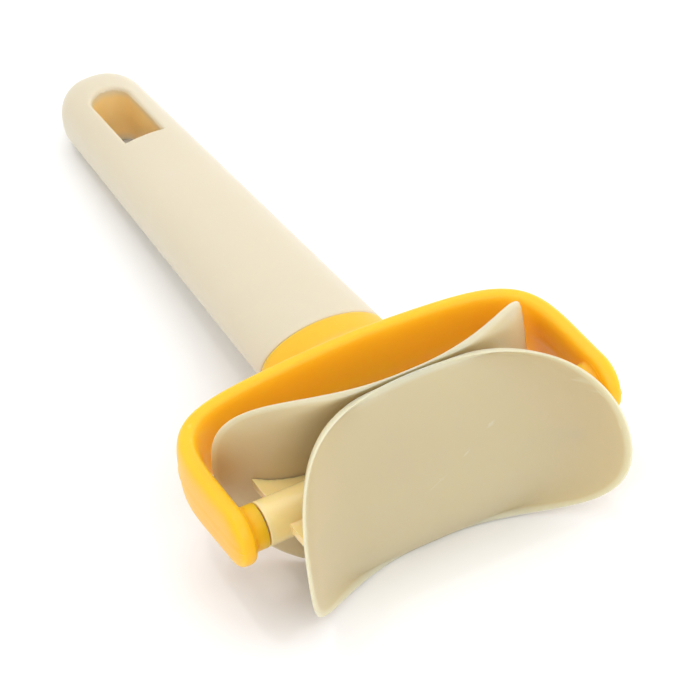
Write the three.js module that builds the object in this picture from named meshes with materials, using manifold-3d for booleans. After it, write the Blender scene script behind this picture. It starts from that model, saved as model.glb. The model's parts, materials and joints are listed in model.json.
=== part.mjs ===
// A rolling pastry cutter. Two saddle-shaped blades stand back to back on a hub, the hub turns on a
// steel rod, the rod sits in the arms of a moulded fork, and a hollow handle slides over the fork's
// long core. Millimetres. Until the last lines everything is drawn in the tool's own frame: origin
// in the middle of the axle, +X along the axle, +Y up the handle, +Z away from the table.
import * as THREE from 'three';
import { mergeVertices } from 'three/addons/utils/BufferGeometryUtils.js';
import Module from 'manifold-3d';

// Roller
const rollerRadius = 24;          // the cutting edges lie on a cylinder of this radius about the axle
const bladeHalfWidth = 40.5;      // middle of a blade to its side tip, along the axle
const rimGap = 0.7;               // between the two cutting edges where they come closest
const rimSquareness = 2.16;       // 2 is an ellipse on the unrolled cylinder, more is squarer
const bladeCentreOffset = 7.9;    // axle to the middle of a blade's inner face
const tipSteepness = 6;           // power by which a blade rises to its side tips
const bladeWall = 1.8;            // in the middle
const bevelWall = 1;              // where the bevel of the cutting edge starts
const bevelWidth = 1.8;
const rimLand = 0.5;              // width of the cutting edge itself
const hubRadius = 5.3;
const webThickness = 2.2;
const webInset = 5.2;             // from a blade's side tip to the end of the web that carries it

// Axle and clearances
const axleRadius = 2;
const runningGap = 0.3;           // rod to hub bore, on the radius
const fitGap = 0.3;               // between pieces that are pressed, glued or welded together
const endPlay = 0.4;              // hub end to boss, each side
const socketDepth = 5;            // how far the rod enters a boss and its arm

// Fork
const armWall = 5.8;
const armClearance = 2.8;         // a blade's side tip to the arm's inner face
const crossbarClearance = 8.9;    // the cutting edges to the crossbar's inner face
const forkHalfWidth = bladeHalfWidth + armClearance + armWall / 2;    // to the middle of the wall
const forkDepth = rollerRadius + crossbarClearance + armWall / 2;     // to the middle of the wall
const forkSquareness = 5.6;       // exponent of the fork's superellipse plan
const armHalfHeight = 7.3;
const crossbarHalfHeight = 11.1;
const bandSquareness = 3.2;       // exponent of the band's rounded section
const bossRadius = 5.3;

// Handle
const collarLength = 9.3;         // crossbar's outer face to the seam between collar and sleeve
const seamDistance = forkDepth + armWall / 2 + collarLength;
const handleLength = 132.4;       // seam to tip
const handleHalfWidth = 16.2;     // at the seam
const handleHalfHeight = 8.8;
const tipHalfWidth = 11.2;        // where the tip starts to round off
const tipHalfHeight = 8.5;
const tipSquareness = 2.6;        // exponent of the handle's section there; at the seam it is 2
const tipRounding = 11;           // length of the rounded tip
const tipFullness = 3;            // exponent of its side view; 2 is an ellipse, more is squarer
const sleeveWall = 2.4;

// Hanging eye: a D-shaped hole with its flat side towards the fork
const eyeHalfWidth = 5.1;
const eyeLength = 25;
const eyeToTip = 12.2;            // from the round end of the eye to the tip
const eyeWall = 2;                // plastic round the eye, inside the sleeve
const coreEndGap = 1;             // end of the core to the eye's wall

const wasm = await Module();
wasm.setup();

// ---- small tools -----------------------------------------------------------------------------

// One value for each of count even steps from first to last, both ends included.
function steps(first, last, count) {
  return Array.from({ length: count + 1 }, (_, i) => first + (last - first) * i / count);
}

// cos and sin raised to 2 / squareness with their signs kept: a point of a unit superellipse.
function superPoint(angle, squareness) {
  const bend = (value) => Math.sign(value) * Math.abs(value) ** (2 / squareness);
  return [bend(Math.cos(angle)), bend(Math.sin(angle))];
}

// A closed body from rings of equally many points, with a point or a fan closing each end.
function skin(rings) {
  const count = rings[0].length;
  const centres = [rings[0], rings.at(-1)].map((ring) =>
    ring.reduce((sum, point) => sum.add(point), new THREE.Vector3()).divideScalar(count));
  const points = [...rings.flat(), ...centres];
  const index = [];
  for (let row = 0; row < rings.length - 1; row++) {
    for (let i = 0; i < count; i++) {
      const next = (i + 1) % count;
      const [a, b, c, d] = [row * count + i, row * count + next, (row + 1) * count + i, (row + 1) * count + next];
      index.push(a, b, d, a, d, c);
    }
  }
  const last = (rings.length - 1) * count;
  for (let i = 0; i < count; i++) {
    const next = (i + 1) % count;
    index.push(points.length - 2, next, i);
    index.push(points.length - 1, last + i, last + next);
  }
  const geometry = new THREE.BufferGeometry().setFromPoints(points);
  geometry.setIndex(index);
  return facingOut(geometry);
}

// The same geometry with its triangles turned over if they enclose a negative volume.
function facingOut(geometry) {
  const position = geometry.getAttribute('position');
  const index = Array.from(geometry.index.array);
  const corner = [new THREE.Vector3(), new THREE.Vector3(), new THREE.Vector3()];
  let volume = 0;
  for (let i = 0; i < index.length; i += 3) {
    corner.forEach((point, k) => point.fromBufferAttribute(position, index[i + k]));
    volume += corner[0].dot(corner[1].cross(corner[2]));
  }
  if (volume < 0) {
    for (let i = 0; i < index.length; i += 3) {
      [index[i], index[i + 1]] = [index[i + 1], index[i]];
    }
    geometry.setIndex(index);
  }
  return geometry;
}

// A three.js geometry as a solid that can be joined and cut.
function toSolid(geometry) {
  const bare = geometry.clone();
  bare.deleteAttribute('normal');
  bare.deleteAttribute('uv');
  const merged = mergeVertices(bare, 1e-4);
  return new wasm.Manifold(new wasm.Mesh({
    numProp: 3,
    vertProperties: new Float32Array(merged.getAttribute('position').array),
    triVerts: new Uint32Array(merged.index.array),
  }));
}

// A solid as a three.js geometry again.
function toGeometry(solid) {
  const mesh = solid.getMesh();
  const geometry = new THREE.BufferGeometry();
  geometry.setAttribute('position', new THREE.BufferAttribute(new Float32Array(mesh.vertProperties), 3));
  geometry.setIndex(new THREE.BufferAttribute(new Uint32Array(mesh.triVerts), 1));
  geometry.computeVertexNormals();
  return geometry;
}

// A round bar along X from one place to another.
function roundBar(radius, from, to, segments = 40) {
  const bar = new THREE.CylinderGeometry(radius, radius, to - from, segments);
  return bar.rotateZ(-Math.PI / 2).translate((from + to) / 2, 0, 0);
}

// ---- roller ----------------------------------------------------------------------------------

// How far round the cylinder a blade's edge reaches from its side tips, up and down alike.
const rimTurn = Math.PI / 2 - rimGap / 2 / rollerRadius;

// A point of a blade's edge, blade on the +Y side: a superellipse wrapped on the roller's cylinder,
// drawn in over that cylinder by an inset.
function rimPoint(angle, inset) {
  const [alongAxle, around] = superPoint(angle, rimSquareness);
  const turn = (rimTurn - inset / rollerRadius) * around;
  return new THREE.Vector3(
    (bladeHalfWidth - inset) * alongAxle,
    rollerRadius * Math.cos(turn),
    rollerRadius * Math.sin(turn),
  );
}

// A point of a blade's inner face. share goes from 0 in the middle to 1 at the edge, and angle goes
// round it. Through the middle, up and down, the face is a parabola. At every height it rises from
// that parabola to the edge as a high power of the way there, which makes the flat middle and the
// steep upturned side tips.
function bladePoint(share, angle) {
  const rim = rimPoint(angle, 0);
  if (share === 1) {
    return rim;
  }
  const [x, z] = [share * rim.x, share * rim.z];
  const top = rollerRadius * Math.sin(rimTurn);
  const edgeHalfWidth = bladeHalfWidth
    * (1 - (Math.asin(Math.abs(z) / rollerRadius) / rimTurn) ** rimSquareness) ** (1 / rimSquareness);
  const middle = rimGap / 2 + (bladeCentreOffset - rimGap / 2) * (1 - (z / top) ** 2);
  const edge = Math.sqrt(rollerRadius ** 2 - z ** 2);
  return new THREE.Vector3(x, middle + (edge - middle) * (Math.abs(x) / edgeHalfWidth) ** tipSteepness, z);
}

// The unit normal of that face, pointing away from the axle, from two short differences.
function bladeNormal(share, angle) {
  const small = 1e-3;
  const inner = Math.max(share - small, small);
  const outward = bladePoint(inner + small / 2, angle).sub(bladePoint(inner - small / 2, angle));
  const along = bladePoint(inner, angle + small).sub(bladePoint(inner, angle - small));
  return along.cross(outward).normalize();
}

// The share at which the bevel starts, so that it is equally wide all round.
function bevelShare(angle) {
  const [near, far] = [0.955, 0.985];
  const faceLength = bladePoint(far, angle).distanceTo(bladePoint(near, angle)) / (far - near);
  return 1 - bevelWidth / faceLength;
}

// One blade: the inner face, the land at the cutting edge, the bevel, and the outer face. The wall
// thins from the middle towards the bevel.
function bladeGeometry() {
  const angles = steps(0, 2 * Math.PI, 96).slice(0, -1);
  const rings = [0.03, 0.3, 0.5, 0.64, 0.75, 0.84, 0.92, 1];
  const innerRing = (share) => angles.map((angle) => bladePoint(share * bevelShare(angle), angle));
  const outerRing = (share) => angles.map((angle) => {
    const place = share * bevelShare(angle);
    const wall = THREE.MathUtils.lerp(bladeWall, bevelWall, share ** 3);
    return bladePoint(place, angle).addScaledVector(bladeNormal(place, angle), wall);
  });
  return skin([
    ...rings.map(innerRing),
    angles.map((angle) => bladePoint((1 + bevelShare(angle)) / 2, angle)),
    angles.map((angle) => rimPoint(angle, 0)),
    angles.map((angle) => rimPoint(angle, rimLand)),
    ...rings.toReversed().map(outerRing),
  ]);
}

// The hub: a tube for the rod, and a flat web through its middle that reaches both blades. The
// web's long edges follow the blades' inner faces.
function hubGeometry() {
  const webEnd = bladeHalfWidth - webInset;
  const reach = (x) => bladePoint(Math.abs(x) / bladeHalfWidth, 0).y - fitGap;
  const places = steps(-webEnd, webEnd, 28);
  const outline = new THREE.Shape([
    ...places.map((x) => new THREE.Vector2(x, -reach(x))),
    ...places.toReversed().map((x) => new THREE.Vector2(x, reach(x))),
  ]);
  const web = new THREE.ExtrudeGeometry(outline, { depth: webThickness, bevelEnabled: false });
  web.translate(0, 0, -webThickness / 2);
  const hubEnd = bladeHalfWidth - endPlay;
  const tube = toSolid(roundBar(hubRadius, -hubEnd, hubEnd));
  const bore = toSolid(roundBar(axleRadius + runningGap, -hubEnd - 1, hubEnd + 1, 24));
  return toGeometry(tube.add(toSolid(web)).subtract(bore));
}

// ---- fork ------------------------------------------------------------------------------------

// A point of the middle of the fork's wall, seen from above. turn runs from 0 at the left arm
// abreast of the axle to pi at the right arm, over a superellipse.
function forkPath(turn) {
  const across = Math.abs(Math.cos(turn)) / forkHalfWidth;
  const up = Math.abs(Math.sin(turn)) / forkDepth;
  const radius = (across ** forkSquareness + up ** forkSquareness) ** (-1 / forkSquareness);
  return new THREE.Vector2(-radius * Math.cos(turn), radius * Math.sin(turn));
}

// One rounded section of the fork's band, standing across the path at a place.
function bandRing(place, across, halfWall, halfHeight) {
  return steps(0, 2 * Math.PI, 24).slice(0, -1).map((angle) => {
    const [out, up] = superPoint(angle, bandSquareness);
    return new THREE.Vector3(
      place.x + across.x * halfWall * out,
      place.y + across.y * halfWall * out,
      halfHeight * up,
    );
  });
}

// The round end of an arm, a disc about the axle, from its tip to the arm. side is -1 for the left
// arm and 1 for the right.
function lobeRings(side) {
  return steps(0.12, Math.PI / 2, 9).slice(0, -1).map((angle) => bandRing(
    new THREE.Vector2(side * forkHalfWidth, -armHalfHeight * Math.cos(angle)),
    new THREE.Vector2(-side, 0),
    armWall / 2 * Math.sin(angle) ** 0.35,
    armHalfHeight * Math.sin(angle),
  ));
}

// The band: left lobe, left arm, crossbar, right arm and right lobe in one sweep. It is a little
// taller in the middle of the crossbar than at the arms.
function bandGeometry() {
  const small = 1e-3;
  const sweep = steps(0, Math.PI, 48).map((turn) => {
    const ahead = forkPath(turn + small).sub(forkPath(turn - small)).normalize();
    const halfHeight = THREE.MathUtils.lerp(armHalfHeight, crossbarHalfHeight, Math.sin(turn) ** 2);
    return bandRing(forkPath(turn), new THREE.Vector2(ahead.y, -ahead.x), armWall / 2, halfHeight);
  });
  return skin([...lobeRings(-1), ...sweep, ...lobeRings(1).toReversed()]);
}

// Half width, half height and squareness of the handle's outside at a place along it, less a wall.
// It tapers from the seam to where the tip starts. There its width closes as a quarter ellipse and
// its height as a slightly squarer curve.
function handleSection(y, inset) {
  const tipStart = seamDistance + handleLength - tipRounding;
  const taper = (y - seamDistance) / (tipStart - seamDistance);
  const past = Math.min(Math.max(0, y - tipStart) / (tipRounding - inset), 1);
  const held = Math.min(taper, 1);
  const fullWidth = THREE.MathUtils.lerp(handleHalfWidth, tipHalfWidth, held) - inset;
  const fullHeight = THREE.MathUtils.lerp(handleHalfHeight, tipHalfHeight, held) - inset;
  return {
    halfWidth: fullWidth * Math.sqrt(1 - past ** 2),
    halfHeight: fullHeight * (1 - past ** tipFullness) ** (1 / tipFullness),
    squareness: THREE.MathUtils.lerp(2, tipSquareness, THREE.MathUtils.clamp(taper, 0, 1)),
  };
}

// A closed body of ovals across the handle at the places given, a wall inside its outside.
function ovalBody(places, inset) {
  return skin(places.map((y) => {
    const { halfWidth, halfHeight, squareness } = handleSection(y, inset);
    return steps(0, 2 * Math.PI, 44).slice(0, -1).map((angle) => {
      const [across, up] = superPoint(angle, squareness);
      return new THREE.Vector3(halfWidth * across, y, halfHeight * up);
    });
  }));
}

// The handle's oval from one place to the rounded tip, a wall inside its outside.
function handleBody(from, inset) {
  const tipStart = seamDistance + handleLength - tipRounding;
  const tipLength = tipRounding - inset;
  return ovalBody([
    ...steps(from, tipStart, 8),
    ...steps(0, Math.PI / 2, 9).slice(1, -1).map((angle) => tipStart + tipLength * Math.sin(angle)),
    tipStart + tipLength * 0.998,
  ], inset);
}

// Where the eye's flat wall stands.
const eyeFlat = seamDistance + handleLength - eyeToTip - eyeLength;

// The hanging eye as a bar right through the handle, larger than the eye by a wall all round.
function eyeBar(wall) {
  const halfWidth = eyeHalfWidth + wall;
  const roundCentre = eyeFlat + eyeLength - eyeHalfWidth;
  const outline = new THREE.Shape();
  outline.moveTo(-halfWidth, eyeFlat - wall);
  outline.lineTo(halfWidth, eyeFlat - wall);
  outline.lineTo(halfWidth, roundCentre);
  outline.absarc(0, roundCentre, halfWidth, 0, Math.PI, false);
  const bar = new THREE.ExtrudeGeometry(outline, {
    depth: 4 * handleHalfHeight, bevelEnabled: false, curveSegments: 16,
  });
  return bar.translate(0, 0, -2 * handleHalfHeight);
}

// The fork in one moulding: band, collar, the long core that fills the handle up to the eye's wall,
// and the two bosses with blind sockets for the rod.
function forkGeometry() {
  const collarEnd = seamDistance - fitGap;
  const { halfWidth, halfHeight } = handleSection(seamDistance, 0);
  const collarRing = (y) => steps(0, 2 * Math.PI, 44).slice(0, -1).map((angle) =>
    new THREE.Vector3(halfWidth * Math.cos(angle), y, halfHeight * Math.sin(angle)));
  const collar = toSolid(skin([collarRing(forkDepth), collarRing(collarEnd)]));
  const core = toSolid(ovalBody(steps(forkDepth, eyeFlat - eyeWall - coreEndGap, 6), sleeveWall + fitGap));
  const bossEnd = bladeHalfWidth;
  let fork = toSolid(bandGeometry()).add(collar).add(core);
  for (const side of [-1, 1]) {
    const ends = [side * bossEnd, side * forkHalfWidth].sort((a, b) => a - b);
    const rodEnd = side * (bossEnd + socketDepth + fitGap);
    const socket = [side * (bossEnd - 1), rodEnd].sort((a, b) => a - b);
    fork = fork.add(toSolid(roundBar(bossRadius, ...ends)));
    fork = fork.subtract(toSolid(roundBar(axleRadius + fitGap, ...socket, 24)));
  }
  return toGeometry(fork);
}

// ---- handle ----------------------------------------------------------------------------------

// The sleeve: the handle's outside less its hollow, open at the seam. A wall is left round the eye
// where that goes through.
function sleeveGeometry() {
  const outside = toSolid(handleBody(seamDistance, 0));
  const hollow = toSolid(handleBody(seamDistance - 1, sleeveWall)).subtract(toSolid(eyeBar(eyeWall)));
  return toGeometry(outside.subtract(hollow).subtract(toSolid(eyeBar(0))));
}

// ---- the assembled tool ----------------------------------------------------------------------

// A named mesh of one moulded or metal piece.
function piece(name, geometry, colour, roughness, metalness = 0) {
  const material = new THREE.MeshStandardMaterial({ color: colour, roughness, metalness });
  const mesh = new THREE.Mesh(geometry, material);
  mesh.name = name;
  return mesh;
}

// The handle hangs down from the axle until its underside rests on the table, like the roller: the
// smallest turn about the axle that brings a point of the underside onto the roller's tangent.
function restingTilt() {
  const underside = steps(seamDistance, seamDistance + handleLength - 1, 200).map((y) => {
    const { halfHeight } = handleSection(y, 0);
    return Math.asin(rollerRadius / Math.hypot(y, halfHeight)) - Math.atan2(halfHeight, y);
  });
  return Math.min(...underside);
}

const blade = bladeGeometry();
const frontBlade = piece('blade_front', blade, '#d9cf9f', 0.42);
frontBlade.rotation.z = Math.PI;
const backBlade = piece('blade_back', blade.clone(), '#d9cf9f', 0.42);
const roller = new THREE.Group();
roller.add(piece('roller_hub', hubGeometry(), '#f0dfc0', 0.28), frontBlade, backBlade);

const axleLength = 2 * (bladeHalfWidth + socketDepth);
const axle = piece('axle_rod', new THREE.CylinderGeometry(axleRadius, axleRadius, axleLength, 24), '#b9bcc0', 0.3, 1);
axle.rotation.z = Math.PI / 2;

const tool = new THREE.Group();
tool.add(
  piece('handle_sleeve', sleeveGeometry(), '#f1e6ca', 0.4),
  piece('fork_frame', forkGeometry(), '#ffb31e', 0.38),
  axle,
  roller,
);
tool.rotation.x = -restingTilt();

// The finished part rests on z = 0 with its box centred over the origin.
const part = new THREE.Group();
part.add(tool);
part.updateMatrixWorld(true);
const box = new THREE.Box3().setFromObject(part, true);
const middle = box.getCenter(new THREE.Vector3());
tool.position.set(-middle.x, -middle.y, -box.min.z);
part.updateMatrixWorld(true);

export default part;
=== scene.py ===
# A rolling pastry cutter, lying on a table on its roller and the end of its handle. Two saddle
# blades back to back on a hub roll rounds out of a sheet of dough; a yellow fork holds the hub on a
# steel rod, and a cream oval handle is pushed over the fork's core.
import json
import math

import bpy
import numpy as np
from mathutils import Matrix, Vector


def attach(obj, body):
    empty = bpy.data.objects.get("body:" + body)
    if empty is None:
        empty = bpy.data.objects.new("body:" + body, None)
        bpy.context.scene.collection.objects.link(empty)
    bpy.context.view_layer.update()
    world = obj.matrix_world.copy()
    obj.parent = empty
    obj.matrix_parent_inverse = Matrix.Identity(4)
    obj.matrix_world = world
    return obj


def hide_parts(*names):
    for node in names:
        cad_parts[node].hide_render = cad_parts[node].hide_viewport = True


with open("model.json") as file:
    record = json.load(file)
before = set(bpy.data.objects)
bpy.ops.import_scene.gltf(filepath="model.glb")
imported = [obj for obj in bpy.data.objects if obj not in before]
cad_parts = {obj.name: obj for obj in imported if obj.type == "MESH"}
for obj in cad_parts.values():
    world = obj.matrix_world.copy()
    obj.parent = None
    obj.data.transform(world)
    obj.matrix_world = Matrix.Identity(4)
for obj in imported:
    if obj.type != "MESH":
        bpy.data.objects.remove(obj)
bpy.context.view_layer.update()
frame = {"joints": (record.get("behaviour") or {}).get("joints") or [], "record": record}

# ---- Where the tool lies ---------------------------------------------------------------------
# Pieces are drawn in millimetres in the tool's own frame: origin in the middle of the rod, x along
# it, y up the handle, z away from the table. The joint says where the rod is. The flat wall of the
# hanging eye faces straight up the handle, so its normal says how far the handle leans.
rod_centre = np.array(frame["joints"][0]["pos_m"])
up_the_handle = np.array(frame["record"]["mounts"][0]["axis"])
along_the_rod = np.array([1.0, 0.0, 0.0])
tool_axes = np.stack([along_the_rod, up_the_handle, np.cross(along_the_rod, up_the_handle)])

# ---- Blades ----------------------------------------------------------------------------------
# Two alike saddle-shaped plates, moulded in beige plastic and welded to the hub's web. Their edges
# are superellipses wrapped on one cylinder about the rod; a bevel thins the outside to a narrow land.
# Surfaces keep a hair inside the frame's solids where those end the whole tool.
cutting_radius = 24.0
hair = 0.015
roller_radius = cutting_radius - hair
blade_half_width = 40.5
rim_gap = 0.7
rim_squareness = 2.16
blade_centre_offset = 7.9
tip_steepness = 6
blade_wall = 1.8
bevel_wall = 1.0
bevel_width = 1.8
rim_land = 0.5
rim_round = 0.1
land_round = 0.15
bevel_round = 0.35
pale_margin = 0.3
pale_fade = 0.9
rim_turn = math.pi / 2 - rim_gap / 2 / roller_radius


def superpoint(angle, squareness):
    """cos and sin of an angle to the power 2 / squareness, signs kept: a unit superellipse."""
    across, up = np.cos(angle), np.sin(angle)
    power = 2 / squareness
    return np.sign(across) * np.abs(across) ** power, np.sign(up) * np.abs(up) ** power


def rim_points(angle, inset):
    """x = w c, turn = t s on a unit superellipse (c, s), then y = R cos turn and z = R sin turn.
    The inset shortens w and t alike."""
    across, around = superpoint(angle, rim_squareness)
    turn = (rim_turn - inset / roller_radius) * around
    x = (blade_half_width - inset) * across
    return np.stack([x, roller_radius * np.cos(turn), roller_radius * np.sin(turn)], -1)


def inner_face(share, angle):
    """x and z are a share of the rim's. y rises from the parabola m = g + (c - g)(1 - (z / top)^2)
    to the cylinder's sqrt(R^2 - z^2) as the 6th power of x over the rim's x at that height."""
    rim = rim_points(angle, 0)
    x, z = share * rim[..., 0], share * rim[..., 2]
    top = roller_radius * math.sin(rim_turn)
    height = np.arcsin(np.clip(np.abs(z) / roller_radius, 0, 1)) / rim_turn
    edge_x = blade_half_width * (1 - np.clip(height, 0, 1 - 1e-9) ** rim_squareness) ** (1 / rim_squareness)
    middle = rim_gap / 2 + (blade_centre_offset - rim_gap / 2) * (1 - (z / top) ** 2)
    edge = np.sqrt(roller_radius ** 2 - z ** 2)
    return np.stack([x, middle + (edge - middle) * (np.abs(x) / edge_x) ** tip_steepness, z], -1)


def face_normal(share, angle):
    """Cross product of the face's short differences round it and outwards, made a unit."""
    small = 1e-4
    inner = np.clip(share - small, small, None)
    outward = inner_face(inner + small / 2, angle) - inner_face(inner - small / 2, angle)
    along = inner_face(inner, angle + small) - inner_face(inner, angle - small)
    normal = np.cross(along, outward)
    return normal / np.linalg.norm(normal, axis=-1, keepdims=True)


def rounded_rows(before, corner, after, radius, count=4):
    """Rows that round a corner: a quadratic curve from radius before it to radius after it, or from
    a quarter of the way to the neighbouring row where that is nearer."""
    def reach(neighbour):
        way = neighbour - corner
        length = np.linalg.norm(way, axis=-1, keepdims=True)
        return way * np.minimum(radius / length, 0.25)

    s = np.linspace(0, 1, count)[:, None, None]
    return corner + (1 - s) ** 2 * reach(before) + s ** 2 * reach(after)


def blade_rings():
    """Rings of the back blade from the middle of its inner face over the edge to its outer face.
    The bevel starts where the face is one bevel's width long to the rim, and the wall thins towards
    it as the cube of the way there."""
    angle = np.linspace(0, 2 * math.pi, 256, endpoint=False)[None, :]
    middle, near, far, outer_edge = 0.005, 0.955, 0.985, 0.95
    face_length = np.linalg.norm(inner_face(far, angle) - inner_face(near, angle), axis=-1) / (far - near)
    bevel_share = 1 - bevel_width / face_length

    def outside(share):
        wall = blade_wall + (bevel_wall - blade_wall) * share ** 3
        place = share * bevel_share
        return inner_face(place, angle) + wall[..., None] * face_normal(place, angle)

    inner = inner_face(np.linspace(middle, 1, 48)[:, None] * bevel_share, angle)
    lip = inner_face(1 - np.array([[0.7], [0.4], [0.2]]) * (1 - bevel_share), angle)
    outer = outside(np.linspace(outer_edge, middle, 48)[:, None])
    rim = rim_points(angle, 0)
    land = rim_points(angle, rim_land)
    bevel = outside(np.ones((1, 1)))
    return np.concatenate([
        inner, lip, rounded_rows(lip[-1], rim, land, rim_round), rounded_rows(rim, land, bevel, land_round),
        land + (bevel - land) * np.linspace(0.3, 0.7, 3)[:, None, None],
        rounded_rows(land, bevel, outer[0], bevel_round), outer])


def in_row_frame(points):
    """Tool millimetres to row metres: the rod's centre plus each coordinate along its own axis."""
    return rod_centre + 0.001 * points @ tool_axes


def grid_faces(rows, columns, joined_rows=False):
    """Quads of a grid of rings. Ring i meets ring i + 1, and each ring closes on itself; with
    joined_rows the last ring meets the first too."""
    row = np.arange(rows if joined_rows else rows - 1)[:, None]
    column = np.arange(columns)[None, :]
    following = (row + 1) % rows
    beside = (column + 1) % columns
    corners = [row * columns + column, row * columns + beside,
               following * columns + beside, following * columns + column]
    return np.stack(np.broadcast_arrays(*corners), -1).reshape(-1, 4)


def enclosed_volume(points, triangles):
    """Sum of the signed volumes of the tetrahedra from the origin to each triangle."""
    a, b, c = (points[triangles[:, i]] for i in range(3))
    return np.einsum("ij,ij->i", a, np.cross(b, c)).sum() / 6


def moulded_body(name, rings, joined_rows=False):
    """A closed mesh from an array of rings (ring, place round it, xyz) in tool millimetres. The
    end rings are closed by a fan to their middle, unless the rings join up into a tube wall."""
    rows, columns = rings.shape[:2]
    points = rings.reshape(-1, 3)
    quads = grid_faces(rows, columns, joined_rows)
    fans = np.empty((0, 3), int)
    if not joined_rows:
        first = np.arange(columns)
        last = first + (rows - 1) * columns
        fans = np.concatenate([
            np.stack([np.full(columns, len(points)), np.roll(first, -1), first], 1),
            np.stack([np.full(columns, len(points) + 1), last, np.roll(last, -1)], 1)])
        points = np.concatenate([points, rings[0].mean(0)[None], rings[-1].mean(0)[None]])
    triangles = np.concatenate([quads[:, [0, 1, 2]], quads[:, [0, 2, 3]], fans])
    if enclosed_volume(points, triangles) < 0:
        quads = quads[:, ::-1]
        fans = fans[:, ::-1]
    mesh = bpy.data.meshes.new(name)
    mesh.from_pydata(in_row_frame(points).tolist(), [], quads.tolist() + fans.tolist())
    mesh.shade_smooth()
    body = bpy.data.objects.new(name, mesh)
    bpy.context.scene.collection.objects.link(body)
    return body


def painted_edge_light_share(rings):
    """Painted light along the blade's edge: 1 along the cutting edge, fading to 0 a little past the bevel,
    by distance to the rim. The pale stripe it gives stands in for the light that the bevel catches and lets
    through.
    """
    rim = rim_points(np.linspace(0, 2 * math.pi, rings.shape[1], endpoint=False), 0)
    distance = np.linalg.norm(rings - rim, axis=-1)
    return np.clip((bevel_width + pale_margin - distance) / pale_fade, 0, 1)


def mark(body, name, values):
    """Keeps one number per vertex on a mesh, for its material to read."""
    kept = body.data.attributes.new(name, "FLOAT", "POINT")
    kept.data.foreach_set("value", np.asarray(values, np.float32))


def add_node(tree, kind, **values):
    """A shader node with the named input sockets or settings given."""
    made = tree.nodes.new(kind)
    for key, value in values.items():
        socket = made.inputs.get(key.replace("_", " "))
        if socket is not None:
            socket.default_value = value
        else:
            setattr(made, key, value)
    return made


def named_group(name, inputs, outputs):
    """An empty shader node group with named number inputs, each with its usual value, and outputs."""
    tree = bpy.data.node_groups.new(name, "ShaderNodeTree")
    for label, value in inputs.items():
        tree.interface.new_socket(label, in_out="INPUT", socket_type="NodeSocketFloat").default_value = value
    for label in outputs:
        tree.interface.new_socket(label, in_out="OUTPUT", socket_type="NodeSocketFloat")
    return tree, tree.nodes.new("NodeGroupInput"), tree.nodes.new("NodeGroupOutput")


# The pieces are injection moulded. The mould leaves a very fine orange-peel grain, cooling leaves
# broad soft clouds in colour and gloss, and use leaves faint hairline scuffs and rubbed edges.
def build_moulded_skin():
    """Cloud is a soft 0 to 1 mottle. Roughness is a base with clouds and scuffs added. Height is
    the fine grain plus the scuffs, both as shares of one bump."""
    tree, given, result = named_group(
        "moulded_skin",
        {"Cloud Scale": 35.0, "Grain Scale": 1800.0, "Roughness": 0.35, "Scuffs": 0.2},
        ["Cloud", "Roughness", "Height"])
    link = tree.links.new
    place = add_node(tree, "ShaderNodeTexCoord")
    cloud = add_node(tree, "ShaderNodeTexNoise", Detail=3.0, Roughness=0.5)
    grain = add_node(tree, "ShaderNodeTexNoise", Detail=2.0, Roughness=0.55)
    streaks = add_node(tree, "ShaderNodeMapping")
    streaks.inputs["Scale"].default_value = (55.0, 900.0, 420.0)
    streaks.inputs["Rotation"].default_value = (0.2, 0.1, 0.5)
    scuff = add_node(tree, "ShaderNodeTexNoise", Scale=1.0, Detail=4.0, Roughness=0.6)
    scuff_line = add_node(tree, "ShaderNodeMapRange", From_Min=0.62, From_Max=0.74)
    where_worn = add_node(tree, "ShaderNodeMapRange", From_Min=0.45, From_Max=0.7)
    worn = add_node(tree, "ShaderNodeMath", operation="MULTIPLY")
    scuffed = add_node(tree, "ShaderNodeMath", operation="MULTIPLY")
    cloudy = add_node(tree, "ShaderNodeMapRange", To_Min=-0.05, To_Max=0.05)
    sum_cloud = add_node(tree, "ShaderNodeMath", operation="ADD")
    rougher = add_node(tree, "ShaderNodeMath", operation="MULTIPLY_ADD")
    rougher.inputs[1].default_value = 0.25
    height = add_node(tree, "ShaderNodeMath", operation="MULTIPLY_ADD")
    height.inputs[1].default_value = -0.8
    link(place.outputs["Object"], cloud.inputs["Vector"])
    link(given.outputs["Cloud Scale"], cloud.inputs["Scale"])
    link(place.outputs["Object"], grain.inputs["Vector"])
    link(given.outputs["Grain Scale"], grain.inputs["Scale"])
    link(place.outputs["Object"], streaks.inputs["Vector"])
    link(streaks.outputs["Vector"], scuff.inputs["Vector"])
    link(scuff.outputs["Fac"], scuff_line.inputs["Value"])
    link(cloud.outputs["Fac"], where_worn.inputs["Value"])
    link(scuff_line.outputs["Result"], worn.inputs[0])
    link(where_worn.outputs["Result"], worn.inputs[1])
    link(worn.outputs[0], scuffed.inputs[0])
    link(given.outputs["Scuffs"], scuffed.inputs[1])
    link(cloud.outputs["Fac"], cloudy.inputs["Value"])
    link(given.outputs["Roughness"], sum_cloud.inputs[0])
    link(cloudy.outputs["Result"], sum_cloud.inputs[1])
    link(scuffed.outputs[0], rougher.inputs[0])
    link(sum_cloud.outputs[0], rougher.inputs[2])
    link(scuffed.outputs[0], height.inputs[0])
    link(grain.outputs["Fac"], height.inputs[2])
    link(cloud.outputs["Fac"], result.inputs["Cloud"])
    link(rougher.outputs[0], result.inputs["Roughness"])
    link(height.outputs[0], result.inputs["Height"])
    return tree


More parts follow.
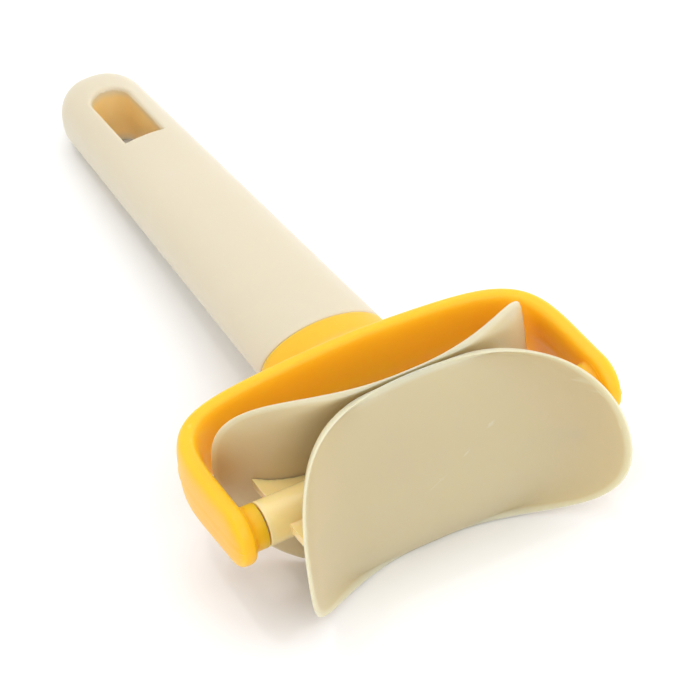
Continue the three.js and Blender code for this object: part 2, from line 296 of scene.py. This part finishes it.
def build_rubbed_and_lit_edges():
    """Mask of the convex edges that hands and dough rub: how sharply the surface turns, broken up by noise,
    times a strength. The second input adds a painted light stripe where the mesh itself marks one, broken up
    by the same noise."""
    tree, given, result = named_group("rubbed_and_lit_edges", {"Strength": 0.5, "Painted Light": 0.0}, ["Mask"])
    link = tree.links.new
    shape = add_node(tree, "ShaderNodeNewGeometry")
    edge = add_node(tree, "ShaderNodeMapRange", From_Min=0.52, From_Max=0.62)
    place = add_node(tree, "ShaderNodeTexCoord")
    patches = add_node(tree, "ShaderNodeTexNoise", Scale=160.0, Detail=4.0, Roughness=0.65)
    broken = add_node(tree, "ShaderNodeMapRange", From_Min=0.3, From_Max=0.7, To_Min=0.35, To_Max=1.0)
    worn = add_node(tree, "ShaderNodeMath", operation="MULTIPLY")
    scaled = add_node(tree, "ShaderNodeMath", operation="MULTIPLY")
    edge_light_breakup = add_node(tree, "ShaderNodeMapRange", From_Min=0.2, From_Max=0.8, To_Min=0.45, To_Max=0.75)
    painted_edge_light_mask = add_node(tree, "ShaderNodeMath", operation="MULTIPLY")
    either = add_node(tree, "ShaderNodeMath", operation="MAXIMUM")
    link(shape.outputs["Pointiness"], edge.inputs["Value"])
    link(place.outputs["Object"], patches.inputs["Vector"])
    link(patches.outputs["Fac"], broken.inputs["Value"])
    link(edge.outputs["Result"], worn.inputs[0])
    link(broken.outputs["Result"], worn.inputs[1])
    link(worn.outputs[0], scaled.inputs[0])
    link(given.outputs["Strength"], scaled.inputs[1])
    link(patches.outputs["Fac"], edge_light_breakup.inputs["Value"])
    link(edge_light_breakup.outputs["Result"], painted_edge_light_mask.inputs[0])
    link(given.outputs["Painted Light"], painted_edge_light_mask.inputs[1])
    link(scaled.outputs[0], either.inputs[0])
    link(painted_edge_light_mask.outputs[0], either.inputs[1])
    link(either.outputs[0], result.inputs["Mask"])
    return tree


moulded_skin = build_moulded_skin()
rubbed_and_lit_edges = build_rubbed_and_lit_edges()


# The last colour, for the eye's walls, is a painted warm shade with bounce light.
def plastic(name, deep, light, edge, roughness, coat, gloss, grain_height, scuffs, edge_strength, glow,
            glow_depth=0.002, glow_tint=(1.0, 0.6, 0.3), painted_eye_shade=(0.88, 0.63, 0.26)):
    """A moulded plastic: base colour from deep to light by the clouds, towards edge on rubbed edges and on a
    painted light stripe that the mesh marks; roughness and bump from the moulded skin; glow is the share of
    light that wanders under the skin, to glow_depth. Where the mesh marks the eye's walls, the colour turns
    to the last colour given, a painted warm shade."""
    material = bpy.data.materials.new(name)
    material.use_nodes = True
    tree = material.node_tree
    link = tree.links.new
    shader = tree.nodes["Principled BSDF"]
    shader.inputs["Coat Weight"].default_value = coat
    shader.inputs["Coat Roughness"].default_value = 0.12
    shader.inputs["IOR"].default_value = 1.49
    shader.inputs["Specular IOR Level"].default_value = gloss
    shader.inputs["Subsurface Weight"].default_value = glow
    shader.inputs["Subsurface Radius"].default_value = glow_tint
    shader.inputs["Subsurface Scale"].default_value = glow_depth
    skin = tree.nodes.new("ShaderNodeGroup")
    skin.node_tree = moulded_skin
    skin.inputs["Roughness"].default_value = roughness
    skin.inputs["Scuffs"].default_value = scuffs
    rubbed_and_lit = tree.nodes.new("ShaderNodeGroup")
    rubbed_and_lit.node_tree = rubbed_and_lit_edges
    rubbed_and_lit.inputs["Strength"].default_value = edge_strength
    # Painted light: the pale stripe that the mesh marks along the blades' bevel.
    edge_light_attribute = add_node(tree, "ShaderNodeAttribute", attribute_name="painted_edge_light")
    # Painted shade: the warm colour on the eye's walls, where the mesh marks them.
    eye_shade_mask = add_node(tree, "ShaderNodeAttribute", attribute_name="eye_shade_mask")
    eye_shade_mix = tree.nodes.new("ShaderNodeMix")
    eye_shade_mix.data_type = "RGBA"
    eye_shade_mix.inputs["B"].default_value = (*painted_eye_shade, 1)
    clouds = tree.nodes.new("ShaderNodeMix")
    clouds.data_type = "RGBA"
    clouds.inputs["A"].default_value = (*deep, 1)
    clouds.inputs["B"].default_value = (*light, 1)
    edges = tree.nodes.new("ShaderNodeMix")
    edges.data_type = "RGBA"
    edges.inputs["B"].default_value = (*edge, 1)
    bump = add_node(tree, "ShaderNodeBump", Strength=0.5, Distance=grain_height)
    link(skin.outputs["Cloud"], clouds.inputs["Factor"])
    link(rubbed_and_lit.outputs["Mask"], edges.inputs["Factor"])
    link(clouds.outputs["Result"], edges.inputs["A"])
    link(edge_light_attribute.outputs["Fac"], rubbed_and_lit.inputs["Painted Light"])
    link(eye_shade_mask.outputs["Fac"], eye_shade_mix.inputs["Factor"])
    link(edges.outputs["Result"], eye_shade_mix.inputs["A"])
    link(eye_shade_mix.outputs["Result"], shader.inputs["Base Color"])
    link(skin.outputs["Roughness"], shader.inputs["Roughness"])
    link(skin.outputs["Height"], bump.inputs["Height"])
    link(bump.outputs["Normal"], shader.inputs["Normal"])
    return material


# The blade's edge colour is both rubbed wear and a painted light stripe along the bevel.
blade_plastic = plastic(
    "blade_plastic", deep=(0.475, 0.40, 0.255), light=(0.505, 0.435, 0.255), edge=(0.56, 0.545, 0.42),
    roughness=0.42, coat=0.03, gloss=0.4, grain_height=0.00006, scuffs=0.35, edge_strength=0.6,
    glow=0.6, glow_depth=0.004, glow_tint=(1.0, 0.85, 0.55))
half_turn = np.array([-1.0, -1.0, 1.0])
for blade_name, turned in (("blade_front", half_turn), ("blade_back", np.ones(3))):
    rings = blade_rings()
    blade = moulded_body(blade_name + "_moulding", rings * turned)
    # Paints a pale light stripe along the cutting edge and bevel.
    mark(blade, "painted_edge_light", np.append(painted_edge_light_share(rings).ravel(), [0, 0]))
    blade.data.materials.append(blade_plastic)
    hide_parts(blade_name)
    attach(blade, "roller")


# ---- Hub -------------------------------------------------------------------------------------
# A glossy cream tube that turns on the rod, with a flat web along its whole length that the blades
# are welded to. The web's long edges follow the blades, and fillets run where it meets the tube.
rod_radius = 2.0
running_gap = 0.3
end_play = 0.4
hub_radius = 5.3
hub_bore = rod_radius + running_gap
hub_end = blade_half_width - end_play
hub_edge = 0.2
bore_chamfer = 0.25
web_half_thickness = 1.1
web_inset = 5.2
web_end = blade_half_width - web_inset
web_corner = 1.2
web_corner_drop = 0.8
web_edge_blend = 0.6
web_foot_blend = 1.6
weld_gap = 0.3


def smooth_larger(a, b, blend):
    """The larger of two, rounded where they come within blend: adds blend / 4 h^2, h from 0 to 1."""
    near = np.clip(blend - np.abs(a - b), 0, None) / blend
    return np.maximum(a, b) + blend / 4 * near ** 2


def hub_rings():
    """Radius round the rod at each x: the larger of the tube and of a wing as high as the blades
    there and as thick as the web. The bore's rings run back to close the tube's wall. Places round a
    ring crowd towards the web: angle = even - k sin(2 even)."""
    crowding = 0.46
    even = np.linspace(0, 2 * math.pi, 320, endpoint=False)
    angle = even - crowding * np.sin(2 * even)
    across, up = np.abs(np.cos(angle)), np.abs(np.sin(angle))
    turn_in = np.linspace(0, math.pi / 2, 7)[:, None]
    corner_start = web_end - web_corner
    corner = corner_start + web_corner * np.sin(np.linspace(0.1, math.pi / 2, 12))
    half = np.concatenate([
        np.linspace(0, corner_start, 60), corner, np.linspace(web_end + 0.05, hub_end - hub_edge, 8)])
    x = np.concatenate([-half[:0:-1], half])[:, None]
    reach = inner_face(np.abs(x) / blade_half_width, np.zeros((1, 1)))[..., 1] - weld_gap
    past = np.clip((np.abs(x) - corner_start) / web_corner, 0, 1)
    rounding = np.sqrt(np.clip(1 - past ** 2, 0, None))
    wing = -smooth_larger(-(reach - web_corner_drop * (1 - rounding)) / np.maximum(across, 1e-6),
                          -web_half_thickness / np.maximum(up, 1e-6), web_edge_blend)
    wing = np.where(past < 1, wing, 0)
    radius = smooth_larger(np.full_like(wing, hub_radius), wing, web_foot_blend)
    radius = np.where(wing > 0, radius, hub_radius)

    def ring(x_value, r):
        return np.stack(np.broadcast_arrays(x_value, r * np.cos(angle), r * np.sin(angle)), -1)

    outside = ring(x, radius)
    end_x = hub_end - hub_edge + hub_edge * np.sin(turn_in)
    end_r = hub_radius - hub_edge + hub_edge * np.cos(turn_in)
    right = ring(end_x, end_r)
    left = ring(-end_x[::-1], end_r[::-1])
    bore_x = np.array([hub_end, hub_end - bore_chamfer, 0.0, bore_chamfer - hub_end, -hub_end])[:, None]
    bore_r = hub_bore + np.array([bore_chamfer, 0, 0, 0, bore_chamfer])[:, None]
    return np.concatenate([left, outside, right, ring(bore_x, bore_r)])


hub = moulded_body("roller_hub_moulding", hub_rings(), joined_rows=True)
hub.data.set_sharp_from_angle(angle=math.radians(50))
hub.data.materials.append(plastic(
    "hub_plastic", deep=(0.88, 0.67, 0.27), light=(0.90, 0.70, 0.32), edge=(0.74, 0.65, 0.48),
    roughness=0.22, coat=0.35, gloss=0.5, grain_height=0.00003, scuffs=0.2, edge_strength=0.3, glow=0.5,
    glow_depth=0.004))
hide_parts("roller_hub")
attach(hub, "roller")


# ---- Rod -------------------------------------------------------------------------------------
# A plain drawn steel rod with chamfered ends, pressed into blind sockets in the fork's two arms.
# Drawing leaves fine lines along it, and the hub has polished bright bands round it.
socket_depth = 5.0
rod_end = blade_half_width + socket_depth
rod_chamfer = 0.35


def rod_rings():
    """Rings of the rod: full radius between the chamfers, less the chamfer at both ends."""
    angle = np.linspace(0, 2 * math.pi, 96, endpoint=False)
    straight = np.linspace(0, rod_end - rod_chamfer, 7)
    half = np.append(straight, rod_end)
    radius = np.append(np.full_like(straight, rod_radius), rod_radius - rod_chamfer)
    x = np.concatenate([-half[:0:-1], half])[:, None]
    r = np.concatenate([radius[:0:-1], radius])[:, None]
    return np.stack(np.broadcast_arrays(x, r * np.cos(angle), r * np.sin(angle)), -1)


def rod_steel():
    """Steel: long streaks of roughness and bump along x from stretched noise, and soft polished
    bands from noise stretched round the rod."""
    material = bpy.data.materials.new("rod_steel")
    material.use_nodes = True
    tree = material.node_tree
    link = tree.links.new
    shader = tree.nodes["Principled BSDF"]
    shader.inputs["Metallic"].default_value = 1.0
    place = add_node(tree, "ShaderNodeTexCoord")
    drawn = add_node(tree, "ShaderNodeMapping")
    drawn.inputs["Scale"].default_value = (40.0, 2600.0, 2600.0)
    streaks = add_node(tree, "ShaderNodeTexNoise", Scale=1.0, Detail=4.0)
    turned = add_node(tree, "ShaderNodeMapping")
    turned.inputs["Scale"].default_value = (260.0, 12.0, 12.0)
    bands = add_node(tree, "ShaderNodeTexNoise", Scale=1.0, Detail=2.0)
    colour = tree.nodes.new("ShaderNodeMix")
    colour.data_type = "RGBA"
    colour.inputs["A"].default_value = (0.46, 0.47, 0.49, 1)
    colour.inputs["B"].default_value = (0.62, 0.63, 0.64, 1)
    rough = add_node(tree, "ShaderNodeMapRange", From_Min=0.35, From_Max=0.65, To_Min=0.22, To_Max=0.42)
    bump = add_node(tree, "ShaderNodeBump", Strength=0.3, Distance=0.00001)
    link(place.outputs["Object"], drawn.inputs["Vector"])
    link(place.outputs["Object"], turned.inputs["Vector"])
    link(drawn.outputs["Vector"], streaks.inputs["Vector"])
    link(turned.outputs["Vector"], bands.inputs["Vector"])
    link(bands.outputs["Fac"], colour.inputs["Factor"])
    link(colour.outputs["Result"], shader.inputs["Base Color"])
    link(streaks.outputs["Fac"], rough.inputs["Value"])
    link(rough.outputs["Result"], shader.inputs["Roughness"])
    link(streaks.outputs["Fac"], bump.inputs["Height"])
    link(bump.outputs["Normal"], shader.inputs["Normal"])
    return material


rod = moulded_body("axle_rod_turned", rod_rings())
rod.data.set_sharp_from_angle(angle=math.radians(30))
rod.data.materials.append(rod_steel())
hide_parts("axle_rod")
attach(rod, "frame")


# ---- Fork ------------------------------------------------------------------------------------
# One yellow moulding: a rounded band bent round the roller from arm to arm, bosses with blind
# sockets for the rod, a collar, and a long core inside the sleeve. A fine parting line runs round it.
fit_gap = 0.3
arm_wall = 5.8
arm_clearance = 2.8
crossbar_clearance = 8.9
fork_half_width = blade_half_width + arm_clearance + arm_wall / 2
fork_depth = cutting_radius + crossbar_clearance + arm_wall / 2
fork_squareness = 5.6
arm_half_height = 7.3
crossbar_half_height = 11.1
band_squareness = 3.2
lobe_closing = 0.45
parting_height = 0.22
parting_width = 0.28
boss_radius = 5.3
boss_end = blade_half_width
boss_fillet = 0.9
boss_fillet_length = 1.4
boss_fillet_stand = 0.6
boss_edge = 0.15
socket_radius = rod_radius + fit_gap
socket_end = rod_end + fit_gap
collar_length = 9.3
seam_y = fork_depth + arm_wall / 2 + collar_length
collar_flare = 1.3
flare_reach = 5.7
flare_end = fork_depth + flare_reach
flare_length = 3.5
collar_edge = 0.3
whole_handle_length = 132.4
handle_length = whole_handle_length - 2 * hair
handle_half = (16.2, 8.8)
tip_half = (11.2, 8.5 - hair / 3)
tip_squareness = 2.6
tip_rounding = 11.0 - 2 * hair
tip_fullness = 3
tip_start = seam_y + handle_length - tip_rounding
sleeve_wall = 2.4
eye_length = 25.0
eye_to_tip = 12.2
eye_flat = seam_y + whole_handle_length - eye_to_tip - eye_length
eye_wall = 2.0
core_end_gap = 1.0
core_end = eye_flat - eye_wall - core_end_gap
core_chamfer = 0.3


def fork_path(turn):
    """Middle of the band's wall: a superellipse in polar form, r = (|c / a|^n + |s / b|^n)^(-1/n)."""
    across = np.abs(np.cos(turn)) / fork_half_width
    up = np.abs(np.sin(turn)) / fork_depth
    radius = (across ** fork_squareness + up ** fork_squareness) ** (-1 / fork_squareness)
    return np.stack([-radius * np.cos(turn), radius * np.sin(turn)], -1)


def band_rings(place, across, half_wall, half_height):
    """Superellipse sections standing across a path, with a small bell-shaped ridge at mid height:
    the parting line, h = p exp(-(z / w)^2)."""
    angle = np.linspace(0, 2 * math.pi, 144, endpoint=False)
    out, up = superpoint(angle, band_squareness)
    z = half_height[:, None] * up
    ridge = parting_height * np.exp(-(z / parting_width) ** 2) * np.sign(out)
    wall = (half_wall[:, None] - parting_height * np.minimum(1, half_wall[:, None])) * out + ridge
    return np.stack([
        place[:, 0, None] + across[:, 0, None] * wall, place[:, 1, None] + across[:, 1, None] * wall, z], -1)


def lobe_rings(side):
    """Rounded end of an arm: a half disc about the rod, its wall closing as a power of sin."""
    first = 0.03
    angle = np.linspace(first, math.pi / 2, 40)[:-1]
    place = np.stack([np.full_like(angle, side * fork_half_width), -arm_half_height * np.cos(angle)], -1)
    across = np.tile([-side, 0.0], (len(angle), 1))
    half_wall = arm_wall / 2 * np.sin(angle) ** lobe_closing
    return band_rings(place, across, half_wall, arm_half_height * np.sin(angle))


def band():
    """Left lobe, left arm, crossbar, right arm and right lobe in one sweep. Half the height rises
    from the arms to the middle of the crossbar as sin squared."""
    small = 1e-4
    turn = np.linspace(0, math.pi, 300)
    ahead = fork_path(turn + small) - fork_path(turn - small)
    ahead /= np.linalg.norm(ahead, axis=-1, keepdims=True)
    across = ahead[:, ::-1] * [1, -1]
    half_wall = np.full_like(turn, arm_wall / 2)
    half_height = arm_half_height + (crossbar_half_height - arm_half_height) * np.sin(turn) ** 2
    sweep = band_rings(fork_path(turn), across, half_wall, half_height)
    return moulded_body("band", np.concatenate([lobe_rings(-1), sweep, lobe_rings(1)[::-1]]))


def handle_size(y, inset):
    """Half width and height of the handle, less an inset: a straight taper from the seam to where
    the tip starts, then (1 - past^n)^(1/n), with n 2 for the width and a little more for the height."""
    held = np.clip((y - seam_y) / (tip_start - seam_y), None, 1)
    past = np.clip((y - tip_start) / (tip_rounding - inset), 0, 1)
    sizes = []
    for seam, tip, fullness in zip(handle_half, tip_half, (2, tip_fullness)):
        closing = (1 - past ** fullness) ** (1 / fullness)
        sizes.append((seam + (tip - seam) * held - inset) * closing)
    return sizes


def oval_rings(y, half_width, half_height, angle):
    """Superellipses across the handle at each y: ellipses up to the seam, evenly squarer from there
    to where the tip starts."""
    held = np.clip((y - seam_y) / (tip_start - seam_y), 0, 1)
    across, up = superpoint(angle, 2 + (tip_squareness - 2) * held[:, None])
    x = np.asarray(half_width)[:, None] * across
    z = np.asarray(half_height)[:, None] * up
    return np.stack(np.broadcast_arrays(x, y[:, None], z), -1)


def collar():
    """The handle's oval carried on to the crossbar, widening by a quarter circle's flare into it,
    with a softened edge at the seam."""
    end = seam_y - fit_gap
    straight = np.linspace(flare_end + 0.5, end - collar_edge, 6)
    y = np.concatenate([np.linspace(fork_depth, flare_end, 26), straight])
    near = np.clip((flare_end - y) / flare_length, 0, 1)
    flare = collar_flare * (1 - np.sqrt(1 - near ** 2))
    y = np.append(y, [end - collar_edge / 3, end])
    flare = np.append(flare, [-collar_edge / 3, -collar_edge])
    angle = np.linspace(0, 2 * math.pi, 160, endpoint=False)
    return moulded_body("collar", oval_rings(y, handle_half[0] + flare, handle_half[1] + flare, angle))


def core():
    """The long body inside the sleeve, a wall and a fit gap smaller than the handle all round, with
    a chamfered end."""
    y = np.append(np.linspace(fork_depth, core_end - core_chamfer, 40), core_end)
    inset = sleeve_wall + fit_gap + np.append(np.zeros(40), core_chamfer)
    angle = np.linspace(0, 2 * math.pi, 160, endpoint=False)
    return moulded_body("core", oval_rings(y, *handle_size(y, inset), angle))


def lathe(name, x, radius):
    """A round body about the rod's line from places along it and its radius at each."""
    angle = np.linspace(0, 2 * math.pi, 128, endpoint=False)
    r = np.array(radius)[:, None]
    rings = np.stack(np.broadcast_arrays(np.array(x)[:, None], r * np.cos(angle), r * np.sin(angle)), -1)
    return moulded_body(name, rings)


def boss(side):
    """A disc on the arm's inner face, with a fillet where it leaves the arm and a softened edge."""
    arm_face = fork_half_width - arm_wall / 2
    bend = np.linspace(0, math.pi / 2, 8)
    edge_x = boss_end + boss_edge * (1 - np.cos(bend))
    edge_r = boss_radius - boss_edge * (1 - np.sin(bend))
    fillet_x = arm_face - boss_fillet_stand + boss_fillet_length * np.sin(bend)
    fillet_r = boss_radius + boss_fillet * (1 - np.cos(bend))
    x = np.concatenate([edge_x, fillet_x, [fork_half_width]])
    radius = np.concatenate([edge_r, fillet_r, [boss_radius + boss_fillet]])
    return lathe("boss", side * x, radius)


def combine(body, others, operation):
    """Joins others to a body or cuts them out of it (UNION or DIFFERENCE), and removes them."""
    for other in others:
        step = body.modifiers.new("combine", "BOOLEAN")
        step.operation = operation
        step.solver = "MANIFOLD"
        step.object = other
    ready = body.evaluated_get(bpy.context.evaluated_depsgraph_get())
    mesh = bpy.data.meshes.new_from_object(ready)
    body.modifiers.clear()
    body.data = mesh
    mesh.name = body.name
    mesh.materials.clear()
    mesh.shade_smooth()
    mesh.set_sharp_from_angle(angle=math.radians(38))
    for other in others:
        bpy.data.objects.remove(other)


fork = band()
fork.name = "fork_frame_moulding"
socket_ends = np.array([boss_end - 1, socket_end])
sockets = [lathe("socket", side * socket_ends, [socket_radius, socket_radius]) for side in (-1, 1)]
combine(fork, [collar(), core(), boss(-1), boss(1)], "UNION")
combine(fork, sockets, "DIFFERENCE")
fork.data.materials.append(plastic(
    "fork_plastic", deep=(0.99, 0.44, 0.006), light=(1.0, 0.485, 0.011), edge=(1.0, 0.64, 0.14),
    roughness=0.36, coat=0.06, gloss=0.35, grain_height=0.00005, scuffs=0.3, edge_strength=0.35, glow=0.8,
    glow_depth=0.009, glow_tint=(1.0, 0.7, 0.2)))
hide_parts("fork_frame")
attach(fork, "frame")


# ---- Sleeve ----------------------------------------------------------------------------------
# The cream grip: a hollow oval moulding pushed over the fork's core up to the collar. A wall inside it
# surrounds the D-shaped hanging eye, which is softly rounded over at both faces. The eye's walls are
# coloured a warm painted shade, which stands in for the shade and yellow bounce light there.
eye_half_width = 5.1
eye_draft = 0.35
eye_bar_reach = 12.0
lip_radius = 1.1
seam_edge = 0.3
seam_edge_length = 0.4
warm_from = 0.8
warm_over = 2.5


def eye_bar(wall):
    """A bar through the handle with the eye's outline plus a wall: flat towards the fork, a half
    circle towards the tip, straight sides between. From both faces it narrows evenly to mid height,
    where the halves of the mould met."""
    z = np.linspace(-eye_bar_reach, eye_bar_reach, 49)[:, None]
    draft = eye_draft * np.clip(1 - np.abs(z) / handle_half[1], 0, 1)
    half = eye_half_width + wall - draft
    bend = np.linspace(0, math.pi, 65)
    round_centre = eye_flat + eye_length - eye_half_width
    x = np.concatenate([-half, half, half * np.cos(bend)], 1)
    flat = eye_flat - wall + draft
    y = np.concatenate([flat, flat, round_centre + half * np.sin(bend)], 1)
    return moulded_body("eye", np.stack(np.broadcast_arrays(x, y, z), -1))


def outside_eye(x, y):
    """Distance of a point from the eye's outline, outside it; below zero inside."""
    far_centre = eye_flat + eye_length - eye_half_width
    beside = np.abs(x) - eye_half_width
    before = eye_flat - y
    square = np.where((beside > 0) & (before > 0), np.hypot(beside, before), np.maximum(beside, before))
    round_end = np.hypot(x, y - far_centre) - eye_half_width
    return np.where(y > far_centre, round_end, square)


def sleeve_outside():
    """Rings of the handle's outside, close together round the eye. Within the lip's radius of the
    eye the surface sinks as a quarter circle, r - sqrt(r^2 - (r - d)^2). Places round a ring crowd
    towards the two flat sides: angle = even + k sin(2 even)."""
    eye_start = eye_flat - 2
    step = 0.25
    crowding = 0.3
    tip = tip_start + tip_rounding * np.sin(np.linspace(0, math.pi / 2 - 0.02, 60))
    y = np.concatenate([
        seam_y + np.array([0, 0.05, 0.15, seam_edge_length]), np.linspace(seam_y + 1, eye_start, 60),
        np.arange(eye_start + step, tip_start, step), tip])
    y = np.unique(y)
    half_width, half_height = handle_size(y, 0)
    seam_round = seam_edge * np.clip(1 - (y - seam_y) / seam_edge_length, 0, 1) ** 2
    even = np.linspace(0, 2 * math.pi, 280, endpoint=False)
    angle = even + crowding * np.sin(2 * even)
    rings = oval_rings(y, half_width - seam_round, half_height - seam_round, angle)
    near = np.clip(lip_radius - outside_eye(rings[..., 0], rings[..., 1]), 0, lip_radius)
    sink = lip_radius - np.sqrt(lip_radius ** 2 - near ** 2)
    rings[..., 2] -= sink * np.sign(rings[..., 2])
    return rings


def sleeve_hollow():
    """The same oval less the wall, from before the seam to its own rounded end, less the wall
    round the eye."""
    tip = tip_start + (tip_rounding - sleeve_wall) * np.sin(np.linspace(0, math.pi / 2 - 0.03, 24))
    y = np.concatenate([[seam_y - 1], np.linspace(seam_y, tip_start, 40)[:-1], tip])
    angle = np.linspace(0, 2 * math.pi, 160, endpoint=False)
    hollow = moulded_body("hollow", oval_rings(y, *handle_size(y, sleeve_wall), angle))
    combine(hollow, [eye_bar(eye_wall)], "DIFFERENCE")
    return hollow


def mark_painted_eye_shade(body):
    """Painted shade in the hanging eye: 1 on the eye's wall, rising evenly from 0 near the lip. The material
    turns these places to a warm painted shade.
    """
    points = np.empty(len(body.data.vertices) * 3)
    body.data.vertices.foreach_get("co", points)
    x, y, z = ((points.reshape(-1, 3) - rod_centre) @ tool_axes.T * 1000).T
    half_height = handle_size(y, 0)[1]
    depth = np.clip((half_height - np.abs(z) - warm_from) / warm_over, 0, 1)
    on_the_wall = np.abs(outside_eye(x, y)) < eye_draft + 0.05
    mark(body, "eye_shade_mask", np.where(on_the_wall, depth, 0))


sleeve = moulded_body("handle_sleeve_moulding", sleeve_outside())
combine(sleeve, [sleeve_hollow(), eye_bar(0)], "DIFFERENCE")
sleeve.data.materials.append(plastic(
    "handle_plastic", deep=(0.61, 0.54, 0.39), light=(0.64, 0.57, 0.425), edge=(0.72, 0.66, 0.53),
    roughness=0.33, coat=0.12, gloss=0.5, grain_height=0.00005, scuffs=0.3, edge_strength=0.3, glow=0.2))
# Paints warm shade and yellow bounce light on the eye's walls.
mark_painted_eye_shade(sleeve)
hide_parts("handle_sleeve")
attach(sleeve, "frame")


# ---- Floor, light and camera -----------------------------------------------------------------
# A pale seamless sweep between white studio walls that give most of the light, with a soft box in
# front, a weaker one overhead and a small one that makes glints.
def build_floor():
    """A flat sheet that curls up behind: z = 0 up to the curl, then a quarter circle and a wall."""
    near, far, curl = -1.6, 1.2, 0.6
    bend = np.linspace(0, math.pi / 2, 24)
    y = np.concatenate([[near], far + curl * np.sin(bend), [far + curl]])
    z = np.concatenate([[0.0], curl - curl * np.cos(bend), [3.0]])
    x = np.array([-2.5, 2.5])
    points = np.stack(np.broadcast_arrays(x[:, None], y, z), -1).reshape(-1, 3)
    count = len(y)
    first = np.arange(count - 1)
    faces = np.stack([first, first + count, first + count + 1, first + 1], 1)
    mesh = bpy.data.meshes.new("floor")
    mesh.from_pydata(points.tolist(), [], faces.tolist())
    mesh.shade_smooth()
    floor = bpy.data.objects.new("floor", mesh)
    bpy.context.scene.collection.objects.link(floor)
    return floor


def floor_finish():
    """Matt white board with a very faint cloudiness."""
    material = bpy.data.materials.new("floor_white")
    material.use_nodes = True
    tree = material.node_tree
    shader = tree.nodes["Principled BSDF"]
    shader.inputs["Roughness"].default_value = 0.8
    place = add_node(tree, "ShaderNodeTexCoord")
    cloud = add_node(tree, "ShaderNodeTexNoise", Scale=3.0, Detail=2.0)
    shade = tree.nodes.new("ShaderNodeMix")
    shade.data_type = "RGBA"
    shade.inputs["A"].default_value = (0.90, 0.90, 0.90, 1)
    shade.inputs["B"].default_value = (0.93, 0.93, 0.93, 1)
    tree.links.new(place.outputs["Object"], cloud.inputs["Vector"])
    tree.links.new(cloud.outputs["Fac"], shade.inputs["Factor"])
    tree.links.new(shade.outputs["Result"], shader.inputs["Base Color"])
    return material


def soft_box(name, place, size, power):
    """A square area light at a place, facing the tool."""
    lamp = bpy.data.lights.new(name, "AREA")
    lamp.size = size
    lamp.energy = power
    holder = bpy.data.objects.new(name, lamp)
    holder.location = place
    holder.rotation_euler = (-Vector(place)).to_track_quat("-Z", "Y").to_euler()
    bpy.context.scene.collection.objects.link(holder)


def studio_walls():
    """White all round, a little dimmer on the left: the strength rises evenly along +x."""
    world = bpy.data.worlds.new("studio")
    world.use_nodes = True
    tree = world.node_tree
    around = add_node(tree, "ShaderNodeTexCoord")
    parts = add_node(tree, "ShaderNodeSeparateXYZ")
    strength = add_node(tree, "ShaderNodeMapRange", From_Min=-1.0, From_Max=1.0, To_Min=0.84, To_Max=1.5)
    background = tree.nodes["Background"]
    background.inputs["Color"].default_value = (1.0, 1.0, 1.0, 1)
    tree.links.new(around.outputs["Generated"], parts.inputs["Vector"])
    tree.links.new(parts.outputs["X"], strength.inputs["Value"])
    tree.links.new(strength.outputs["Result"], background.inputs["Strength"])
    return world


floor = build_floor()
floor.data.materials.append(floor_finish())
soft_box("overhead", place=(0.0, 0.3, 1.3), size=0.9, power=1.5)
soft_box("key", place=(-0.05, -1.1, 1.0), size=1.0, power=4)
soft_box("glint", place=(-0.25, 0.25, 1.4), size=0.1, power=1.2)
bpy.context.scene.world = studio_walls()
bpy.context.scene.view_settings.view_transform = "Standard"

view_azimuth = math.radians(-24.37)
view_elevation = math.radians(41.806)
view_roll = math.radians(5.543)
view_distance = 0.89835
aim = np.array([0.010909, -0.021325, 0.007614])
level_right = np.array([math.cos(view_azimuth), math.sin(view_azimuth), 0])
forward = np.array([-math.sin(view_azimuth) * math.cos(view_elevation),
                    math.cos(view_azimuth) * math.cos(view_elevation), -math.sin(view_elevation)])
level_up = np.cross(level_right, forward)
image_right = level_right * math.cos(view_roll) - level_up * math.sin(view_roll)
image_up = level_up * math.cos(view_roll) + level_right * math.sin(view_roll)
lens = bpy.data.cameras.new("camera")
lens.lens = 195.5
lens.sensor_width = 36
lens.clip_end = 20
camera = bpy.data.objects.new("camera", lens)
turned = np.eye(4)
turned[:3, :3] = np.stack([image_right, image_up, -forward], 1)
turned[:3, 3] = aim - view_distance * forward
camera.matrix_world = Matrix(turned.tolist())
bpy.context.scene.collection.objects.link(camera)
bpy.context.scene.camera = camera
